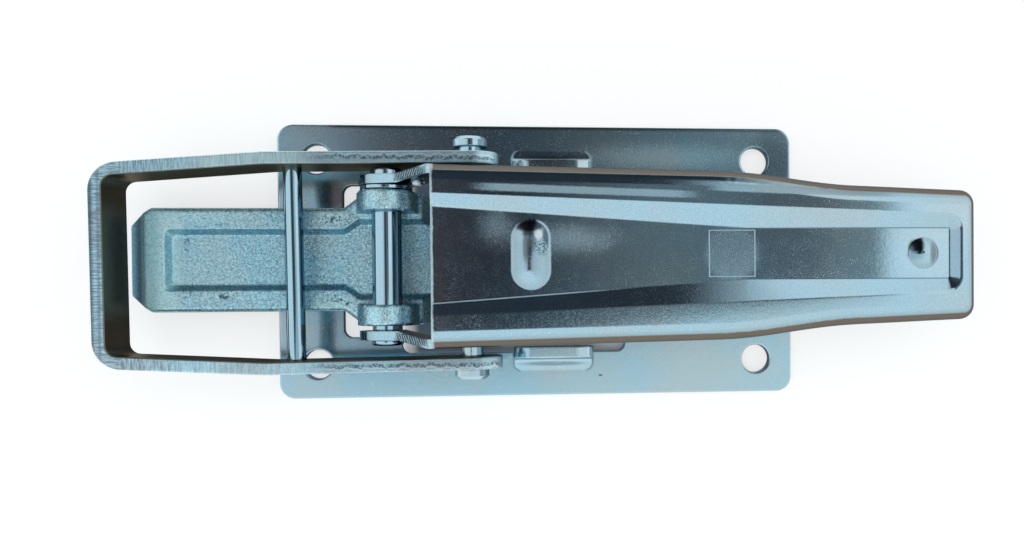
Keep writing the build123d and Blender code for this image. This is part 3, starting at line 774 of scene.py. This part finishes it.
# Painted reflections: a brown-purple one near the left end, a dark one on the far lug, and a pale
# and a grey-blue band on the near lug. Also a small dark spot by the near lug's corner, and a
# darker patch at the right end on the far side.
plate.stain_patches([
    ((-60, 19, 2), (5, 5, 5), 0.1, 0.6, (0.20, 0.14, 0.14), 0.8),
    ((17.6, -34.4, 3), (0.7, 0.4, 2), 0.15, 0.4, (0.12, 0.17, 0.20), 0.8),
    ((71, 29, 3), (7, 12, 9), 0.1, 0.7, (0.22, 0.33, 0.40), 0.7),
    ((3, 28, 9), (13, 4.2, 9), 0.05, 0.3, (0.12, 0.15, 0.19), 0.85),
    ((3.2, -28.6, 12), (12, 1.1, 9), 0.05, 0.3, (0.66, 0.92, 1.0), 0.8),
    ((3.2, -30.7, 8), (12, 0.9, 8), 0.05, 0.3, (0.22, 0.35, 0.43), 0.85)])
plate.report("hazes and stains")

# %% The plate: its darker far edge and its scratches
FAR_EDGE_DARK = (0.10, 0.13, 0.15)
SHEARED_Y = (0.0386, 0.0395)
SHEARED_FROM_X = (-0.064, -0.058)

sheared = product(tree, soft_step(tree, y, *SHEARED_Y), soft_step(tree, x, *SHEARED_FROM_X))
plate.stain(sheared, FAR_EDGE_DARK, 0.75)
scratch = noise(tree, 900.0, 2.0, 0.6, stretch=(0.12, 1, 1))
scratch = soft_step(tree, scratch, 0.68, 0.74, 0.0, 0.3)
plate.stain(scratch, FLECK_COLOUR, 0.5)
plate.haze(scratch, 0.2)
plate.report("sheared edge and scratches")

# %% The plate: painted shade on the walls of its four bolt holes
# The four holes lie at the same distance from the middle, so one folded corner stands for all.
HOLE = (0.065, 0.030, 0)
HOLE_RIM = (0.0050, 0.0045)
HOLE_WALL_SHADE = (0.10, 0.10, 0.10)

from_hole = vector_sums(tree, "SUBTRACT", vector_sums(tree, "ABSOLUTE", where), HOLE)
from_hole = vector_sums(tree, "MULTIPLY", from_hole, (1, 1, 0))
from_hole = vector_sums(tree, "LENGTH", from_hole)
in_hole = product(tree, soft_step(tree, from_hole, *HOLE_RIM), plate.steep(0.7, 0.4))
# Painted shade inside the holes.
plate.stain(in_hole, HOLE_WALL_SHADE, 0.95)
plate.finish("base_plate")

# %% [markdown]
# ## The forging
#
# The nose is forged, and its skin is rough all over like fine sand, most of all near the pivot.
# Its rims are rubbed bright in places and pitted in others. Its end gets a dark blue painted
# reflection, its upright faces a blue painted shade, and its tail under the handle a painted
# shadow. A displaced mesh could carry the grain, but at 2200 grains a metre it would need
# millions of faces. A bump of a tenth of a millimetre looks the same at this size, and darker and
# lighter grains in the colour keep it visible where the light is even.

# %% The forging: its grainy skin, and painted shade on its upright faces
STEEP_SHADE_BLUE = (0.20, 0.42, 0.55)
GRAINS_FADE = (-0.092, -0.064)

forged = Zinc("forged_zinc", grains=2200.0, clouds=60.0, depth=0.00010, edge=0.0008,
              roughness=0.24, colour=(0.43, 0.75, 0.91), cloud_colour=(0.50, 0.75, 0.86),
              flecks=0.55, fleck_strength=0.6, contrast=0.30, mottling=0.12)
tree = forged.tree
x = coordinates(tree)[1]
# Painted shade on the upright faces.
forged.stain(forged.steep(0.75, 0.35), STEEP_SHADE_BLUE, 0.40)
blotch = soft_step(tree, noise(tree, 1400.0, 3.0, 0.75), 0.36, 0.64, 0.66, 1.22)
blotched = blend_colours(tree, 1.0, forged.colour, blotch, "MULTIPLY")
grainy = soft_step(tree, x, *GRAINS_FADE, 0.60, 1.0)
forged.colour = blend_colours(tree, grainy, forged.colour, blotched)
forged.report("grainy skin")

# %% The forging: its pale rim, a painted reflection on its end, and painted shadow on its tail
RIM_PALE = (0.66, 0.97, 1.0)
END_REFLECTION_BLUE = (0.13, 0.27, 0.39)
TAIL_SHADOW_BLUE = (0.12, 0.27, 0.38)
RIM_STARTS = (-0.0975, -0.1010)
DULL_STARTS = (-0.1035, -0.1060)
END_STARTS = (-0.1086, -0.1098)

at_nose_end = soft_step(tree, x, *END_STARTS)
forged.haze(soft_step(tree, x, *DULL_STARTS), 0.30)
speckle = soft_step(tree, noise(tree, 1900.0, 3.0, 0.8), 0.40, 0.60, 0.35, 1.0)
pale_rim = product(tree, soft_step(tree, x, *RIM_STARTS),
                   sums(tree, "SUBTRACT", 1.0, at_nose_end), speckle)
forged.stain(pale_rim, RIM_PALE, 0.85)
# A dark blue painted reflection, speckled, over the nose's end.
end_speckle = soft_step(tree, noise(tree, 1300.0, 3.0, 0.7), 0.30, 0.62, 1.0, 0.55)
forged.stain(product(tree, at_nose_end, end_speckle), END_REFLECTION_BLUE, 0.9)
# Painted shadow of the handle over the forging's tail.
forged.stain_patches([((-22, 0, 10), (10, 30, 14), 0.05, 0.8, TAIL_SHADOW_BLUE, 0.85)])
forged.report("rim, end and tail")

# %% The forging: rubbed rims and bosses, and pits
# Centre and half size of each place.
RUBBED = [((-91, 12.6, 16), (13, 2.4, 9)), ((-100, 9.5, 16), (4.5, 2.6, 9)),
          ((-41.9, -16, 33), (5, 3.4, 6)), ((-41.9, 16, 33), (2.5, 2.6, 6)),
          ((-56, 11.6, 18), (8, 2.6, 9)), ((-56, -12.2, 18), (9, 2.4, 9))]
PITTED = [((-96.5, -9.0, 16), (2.5, 1.6, 9)), ((-97.5, 4.5, 16), (0.8, 3.0, 9)),
          ((-87.5, -10.4, 16), (3.2, 1.2, 9)), ((-56, 11.0, 18), (6, 2.2, 9)),
          ((-55, -11.4, 18), (6, 1.8, 9))]
RUBBED_BRIGHT = (0.72, 0.95, 1.0)
PIT_DARK = (0.05, 0.09, 0.12)

rubbed = soft_step(tree, noise(tree, 1700.0, 3.0, 0.8), 0.44, 0.56)
for centre, half_size in RUBBED:
    light = product(tree, forged.patch(centre, half_size, 0.15, 0.6), rubbed)
    forged.stain(light, RUBBED_BRIGHT, 0.95)
pitted = soft_step(tree, noise(tree, 1100.0, 3.0, 0.7), 0.50, 0.60)
for centre, half_size in PITTED:
    dark = product(tree, forged.patch(centre, half_size, 0.20, 0.6), pitted)
    forged.stain(dark, PIT_DARK, 0.9)
forged.report(f"{len(RUBBED)} rubbed and {len(PITTED)} pitted places")
forged.finish("nose_forging")

# %% [markdown]
# ## The bail
#
# The bail is flat bar standing on its edge, cut from sheet by shears and bent to a loop. Sheared
# steel has two zones: fine streaks straight across, where the blade cut, and a torn line where
# the metal broke. Seen from above it is this edge that shows. The loop's inner faces mirror each
# other, and carry a nearly black painted reflection. A brushed texture that follows the loop
# would need UVs all round the bends. Two noises do as well, one stretched across the legs and
# one across the closed end, changed over at the corners.

# %% The bail: streaks across its sheared edge
# The streaks change direction here, at the corners of the closed end.
CORNERS = (-0.108, -0.111)
# A painted highlight makes the middle of each leg brighter, the one at +y most.
BRIGHT_FROM = (-0.094, -0.084)
BRIGHT_TO = (-0.058, -0.066)
LEG_HIGHLIGHT = (0.74, 0.96, 1.0)

bar = Zinc("bar_zinc", depth=0.00001, roughness=0.34, contrast=0.12, colour=(0.55, 0.80, 0.92),
           grazing=(0.50, 0.45, 0.38))
tree = bar.tree
where, x, y, _ = coordinates(tree)
across_leg = noise(tree, 2600.0, 2.0, 0.6, stretch=(1, 0.10, 0.10))
across_end = noise(tree, 2600.0, 2.0, 0.6, stretch=(0.10, 1, 0.10))
at_end = soft_step(tree, x, *CORNERS)
streaks = add(tree, "ShaderNodeMix", {0: at_end, 2: across_leg, 3: across_end}).outputs[0]
weakest = soft_step(tree, x, -0.112, -0.085, 0.50, 0.84)
strongest = soft_step(tree, x, -0.068, -0.055, 1.12, 0.86)
leg_highlight = product(tree, soft_step(tree, x, *BRIGHT_FROM), soft_step(tree, x, *BRIGHT_TO),
                     soft_step(tree, y, -0.001, 0.001, 0.20, 0.80))
bar.stain(leg_highlight, LEG_HIGHLIGHT)
bar.shade(soft_step(tree, streaks, 0.34, 0.66, weakest, strongest))
bar.report("streaks")

# %% The bail: the torn line along its sheared edge
BAR_MIDDLE = -0.00115
BAR_INNER = 0.02621
BAR_THICK = 0.0034
TORN_DARK = (0.08, 0.13, 0.16)
TORN_FROM = (-0.066, -0.050)
LIP_OFFSET = 0.22

depth_in = sums(tree, "SUBTRACT", gap_to(tree, y, BAR_MIDDLE), BAR_INNER)
depth_in = sums(tree, "DIVIDE", depth_in, BAR_THICK)
wave = sums(tree, "SUBTRACT", noise(tree, 420.0, 3.0, 0.6, stretch=(1, 0, 0)), 0.5)
from_line = sums(tree, "SUBTRACT", depth_in, sums(tree, "ADD", 0.5, wave))
facing_up = coordinates(tree, "Normal")[3]
on_edge = product(tree, soft_step(tree, facing_up, 0.35, 0.65), soft_step(tree, x, *TORN_FROM))
gaps = soft_step(tree, noise(tree, 1600.0, 2.0, 0.7), 0.38, 0.58)
torn = soft_step(tree, sums(tree, "ABSOLUTE", from_line), 0.20, 0.08)
bar.stain(product(tree, torn, on_edge, gaps), TORN_DARK, 0.85)
lip = soft_step(tree, gap_to(tree, from_line, LIP_OFFSET), 0.10, 0.03)
bar.stain(product(tree, lip, on_edge), FLECK_COLOUR, 0.6)
bar.report("the torn line and its lip")

# %% The bail: painted shade on its closed end's outer side, a dark line along it, and a painted reflection on its inner faces
OUTER_SHADE = (0.08, 0.14, 0.19)
OUTER_FROM = (-0.1155, -0.1165)
LINE_X = -0.1145
LINE_HALF = (0.0006, 0.0002)
LOOP_MIDDLE = (-0.075, 0, 0)

# Painted shade on the outer side of the closed end.
bar.stain(soft_step(tree, x, *OUTER_FROM), OUTER_SHADE, 0.8)
bar.stain(soft_step(tree, gap_to(tree, x, LINE_X), *LINE_HALF), DARK_BLUE, 0.5)
from_loop = vector_sums(tree, "SUBTRACT", where, LOOP_MIDDLE)
from_loop = vector_sums(tree, "MULTIPLY", from_loop, (1, 1, 0))
outward = vector_sums(tree, "DOT_PRODUCT", from_loop, coordinates(tree, "Normal")[0])
# A near black painted reflection on the loop's inner faces.
bar.stain(soft_step(tree, outward, -0.008, -0.02), INNER_REFLECTION_DARK, 0.95)
bar.finish("bail")

# %% [markdown]
# ## The turned pins
#
# The pivot pin, the washer, the rivet, the screws and the cross rod come off a lathe, and are
# the smoothest metal here. A round bar squeezes the whole sky into a few stripes, and more are
# painted on: painted shade on the side away from the light and on the upright faces, and a grey
# painted reflection along the rod's top. The side and the stripe are masks on how far the normal
# leans, so they run straight along each bar.

# %% The pins: painted shade on their ends and sides, and a painted grey reflection on the cross rod
ROD_AT = (-0.055, -0.060)
STRIPE_LEAN = 0.21
STRIPE_HALF = (0.26, 0.20)
STRIPE_REFLECTION_GREY = (0.24, 0.38, 0.46)
DARK_SIDE_LEAN = 0.44
DARK_SIDE_LEAN_MORE_ON_ROD = 0.20
SIDE_SHADE = (0.09, 0.15, 0.20)

turned = Zinc("turned_zinc", depth=0.000001, roughness=0.06, mottling=0.03, flecks=0.15,
              fleck_strength=0.3, contrast=0.03)
tree = turned.tree
x = coordinates(tree)[1]
# Painted shade on the upright faces, a painted grey reflection along the rod's top, and painted
# shade on the side away from the light.
turned.stain(turned.steep(0.45, 0.15), DARK_BLUE, 0.7)
lean = coordinates(tree, "Normal")[1]
on_rod = soft_step(tree, x, *ROD_AT)
stripe = product(tree, soft_step(tree, gap_to(tree, lean, STRIPE_LEAN), *STRIPE_HALF), on_rod)
turned.stain(stripe, STRIPE_REFLECTION_GREY, 0.85)
dark_from = sums(tree, "MULTIPLY_ADD", on_rod, DARK_SIDE_LEAN_MORE_ON_ROD, DARK_SIDE_LEAN)
dark_side = soft_step(tree, sums(tree, "SUBTRACT", lean, dark_from), 0.0, 0.10)
turned.stain(dark_side, SIDE_SHADE, 0.70)
turned.finish("nose_screws", "handle_pivot_pin", "pivot_washer", "bail_rivet", "cross_rod")

# %% [markdown]
# ## Bare bright zinc
#
# Zinc that dried in a drop has no polish and no passivation, and is nearly white. As a rough
# metal it would still turn dark wherever it mirrors the dark part of the sky, so this finish
# isn't metallic: it scatters light like paint. It uses the same recipe with other numbers.

# %% The finish of the drops
dropped = Zinc("dropped_zinc", depth=0.000004, roughness=0.35, flecks=0.4, fleck_strength=0.6,
               colour=(0.82, 0.95, 1.0), cloud_colour=(0.74, 0.90, 0.98), clouds=400.0,
               metallic=0.0)
dropped.finish()

# %% [markdown]
# ## The stamped frame
#
# Halfway down the panel a square frame is stamped into the floor, as a place for a mark. It is
# a low ridge that stands up by less than a sixth of a millimetre. A bump map could draw it, but
# real faces catch the light at any angle and are there in the exported mesh. A square sheet is
# inset, its middle is taken out, the ring is pulled up, and its top edges are rounded.

# %% Helpers for new pieces


def make_piece(name, shape, material, body):
    """A finished mesh in the scene, riding on its body."""
    bmesh.ops.recalc_face_normals(shape, faces=shape.faces)
    mesh = bpy.data.meshes.new(name)
    shape.to_mesh(mesh)
    shape.free()
    mesh.materials.append(material)
    piece = link(name, mesh)
    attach(piece, body)
    print(name, len(mesh.polygons), "faces")


def round_edges(shape, edges, width, segments=2):
    """Rounds edges as the editor's bevel does."""
    bmesh.ops.bevel(shape, geom=list(edges), offset=width, offset_type="OFFSET",
                    segments=segments, profile=0.5, affect="EDGES", material=-1,
                    clamp_overlap=True)


# %% The frame's ring, flat and then pulled up
FRAME_MIDDLE = (0.0511, 0.00045)
FRAME_HALF = 0.0064
RIDGE_WIDTH = 0.00042
RIDGE_HEIGHT = 0.00022
RIDGE_ROUND = 0.00007

ring = bmesh.new()
bmesh.ops.create_grid(ring, x_segments=1, y_segments=1, size=FRAME_HALF)
bmesh.ops.inset_individual(ring, faces=list(ring.faces), thickness=RIDGE_WIDTH,
                           use_even_offset=True)
middle = min(ring.faces, key=lambda face: face.calc_center_median().length)
bmesh.ops.delete(ring, geom=[middle], context="FACES_ONLY")
pulled = bmesh.ops.extrude_face_region(ring, geom=list(ring.faces))["geom"]
raised = [part for part in pulled if isinstance(part, bmesh.types.BMVert)]
bmesh.ops.translate(ring, verts=raised, vec=(0, 0, RIDGE_HEIGHT))
top_edges = [edge for edge in ring.edges if all(v in raised for v in edge.verts)
             and abs(edge.link_faces[0].normal.z - edge.link_faces[1].normal.z) > 0.5]
round_edges(ring, top_edges, RIDGE_ROUND)
print("ring:", len(top_edges), "top edges rounded by", round(RIDGE_ROUND * 1000, 2), "mm")

# %% The frame laid on the panel's floor, which falls slightly towards the grip
# The floor is half a millimetre lower at the grip's end than at the front, 140.3 mm away.
FLOOR_Z = 0.038016
FLOOR_FALL = -0.5 / 140.3
RIDGE_SUNK = 0.00008

bmesh.ops.translate(ring, verts=ring.verts, vec=(*FRAME_MIDDLE, FLOOR_Z - RIDGE_SUNK))
for corner in ring.verts:
    corner.co.z += (corner.co.x - FRAME_MIDDLE[0]) * FLOOR_FALL
make_piece("stamped_frame", ring, pressed.material, "lever")

# %% [markdown]
# ## Teeth of the bending tool
#
# Where the cheeks are set outwards, the tool gripped the sheet's edge and left a row of fine
# teeth. A bump would stay flat along the edge's outline, where teeth are seen best, so they are
# real. One tooth is a small block with rounded edges. The row repeats it along the jog, each a
# little longer or more tilted than the last by a sine, because a tool never grips evenly.

# %% Two rows of teeth
TOOTH_COUNT = 13
TOOTH_WIDE = 0.00066 * 0.45
TOOTH_LONG = 0.0021
TOOTH_HIGH = 0.0004
TOOTH_ROUND = 0.00006
LENGTH_PLAY = 0.0003
TOOTH_TILT = 0.30
TILT_PLAY = 0.12
JOG_START = (-0.0386, 0.02100, 0.03235)
JOG_END = (-0.0300, 0.02310, 0.03485)

teeth = bmesh.new()
for side in (1, -1):
    for number in range(TOOTH_COUNT):
        share = (number + 0.5) / TOOTH_COUNT
        x_at, y_at, z_at = [a + (b - a) * share for a, b in zip(JOG_START, JOG_END)]
        tilt = TOOTH_TILT + TILT_PLAY * math.sin(number * 2.4 + side)
        length = TOOTH_LONG + LENGTH_PLAY * math.sin(number * 1.7)
        place = (Matrix.Translation((x_at, side * y_at, z_at))
                 @ Matrix.Rotation(-side * tilt, 4, "Z")
                 @ Matrix.Diagonal((TOOTH_WIDE, length, TOOTH_HIGH, 1)))
        bmesh.ops.create_cube(teeth, size=1.0, matrix=place)
bmesh.ops.recalc_face_normals(teeth, faces=teeth.faces)
round_edges(teeth, teeth.edges, TOOTH_ROUND, 1)
make_piece("jog_teeth", teeth, bar.material, "lever")

# %% [markdown]
# ## A bead of zinc
#
# Plating baths leave drops behind. One bright bead sits inside the cheek, with three small ones
# under it. A metaball could melt them together, but they don't touch. A sphere made of
# triangles has no poles to pinch; it is pressed flat against the wall, and its points are moved
# a little so that it looks like metal that has run.

# %% The bead and its droplets
BEADS = [((-0.0334, 0.02035, 0.0265), 0.00115), ((-0.0350, 0.0200, 0.0225), 0.00035),
         ((-0.0331, 0.0204, 0.0210), 0.00045), ((-0.0318, 0.0209, 0.0225), 0.0003)]
RUN = 0.10
PRESSED_FLAT = 0.75

drops = bmesh.new()
for place, radius in BEADS:
    points = bmesh.ops.create_icosphere(drops, subdivisions=3, radius=radius)["verts"]
    for point in points:
        swell = 1.0 + RUN * math.sin(point.co.x / radius * 2.1 + radius * 9000)
        point.co = point.co * Vector((swell, PRESSED_FLAT, 2.0 - swell))
    bmesh.ops.translate(drops, verts=points, vec=place)
for face in drops.faces:
    face.smooth = True
make_piece("zinc_bead", drops, dropped.material, "lever")
